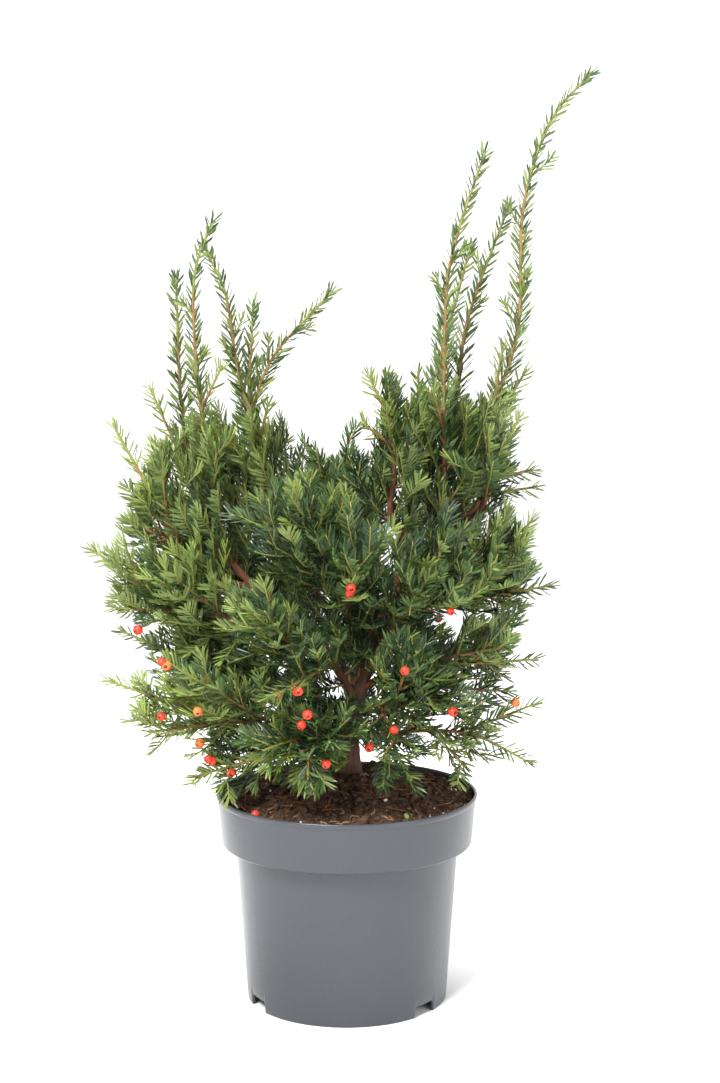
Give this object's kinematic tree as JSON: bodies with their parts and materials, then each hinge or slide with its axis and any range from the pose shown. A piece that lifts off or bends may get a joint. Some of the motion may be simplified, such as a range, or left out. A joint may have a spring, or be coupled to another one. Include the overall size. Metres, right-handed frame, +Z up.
{
  "type": "potted english yew",
  "caption": "English yew shrub, bushy and dense below with long upright young shoots above and red berries, rooted in a round grey nursery pot of soil.",
  "frame": {"origin": "centre of the pot's flat underside, on the ground", "axes": "+Z up along the pot's axis, +X to the right and -Y towards the viewer in the picture"},
  "size_m": [0.545, 0.3687, 0.9923],
  "materials": {
    "pot_plastic": "satin moulded plastic",
    "soil": "rough damp compost",
    "trunk_bark": "rough bark",
    "bough_bark": "thin flaking bark",
    "foliage": "satin needles"
  },
  "bodies": {
    "root": {"pot": "pot_plastic", "soil": "soil", "trunk": "trunk_bark", "bough_centre": "bough_bark", "bough_crown": "bough_bark", "bough_right": "bough_bark", "bough_right_inner": "bough_bark", "bough_right_back": "bough_bark", "bough_right_high": "bough_bark", "bough_right_mid": "bough_bark", "bough_right_rear": "bough_bark", "bough_right_low": "bough_bark", "bough_front_right": "bough_bark", "bough_front_right_low": "bough_bark", "bough_left_main": "bough_bark", "bough_left_rear": "bough_bark", "bough_left_inner": "bough_bark", "bough_left_outer": "bough_bark", "bough_left_side": "bough_bark", "bough_left_low": "bough_bark", "bough_left_front": "bough_bark", "bough_front": "bough_bark", "bough_front_centre": "bough_bark", "bough_top": "bough_bark", "bough_back_left": "bough_bark", "bough_back_right": "bough_bark", "bough_back_high": "bough_bark", "whip_right_inner": "foliage", "crown_inner": "foliage", "whip_tall": "foliage", "whip_right": "foliage", "whip_right_back": "foliage", "right_high": "foliage", "right_mid": "foliage", "right_rear": "foliage", "right_low": "foliage", "front_right_high": "foliage", "front_right": "foliage", "whip_left": "foliage", "whip_left_rear": "foliage", "whip_left_inner": "foliage", "left_outer": "foliage", "left_side": "foliage", "left_low": "foliage", "left_front": "foliage", "left_foot": "foliage", "front_left": "foliage", "front_low": "foliage", "front_centre": "foliage", "centre_top": "foliage", "back_left": "foliage", "back_right": "foliage", "back_centre": "foliage", "back_left_low": "foliage", "back_right_low": "foliage", "right_foot": "foliage", "back_high": "foliage"}
  },
  "joints": []
}
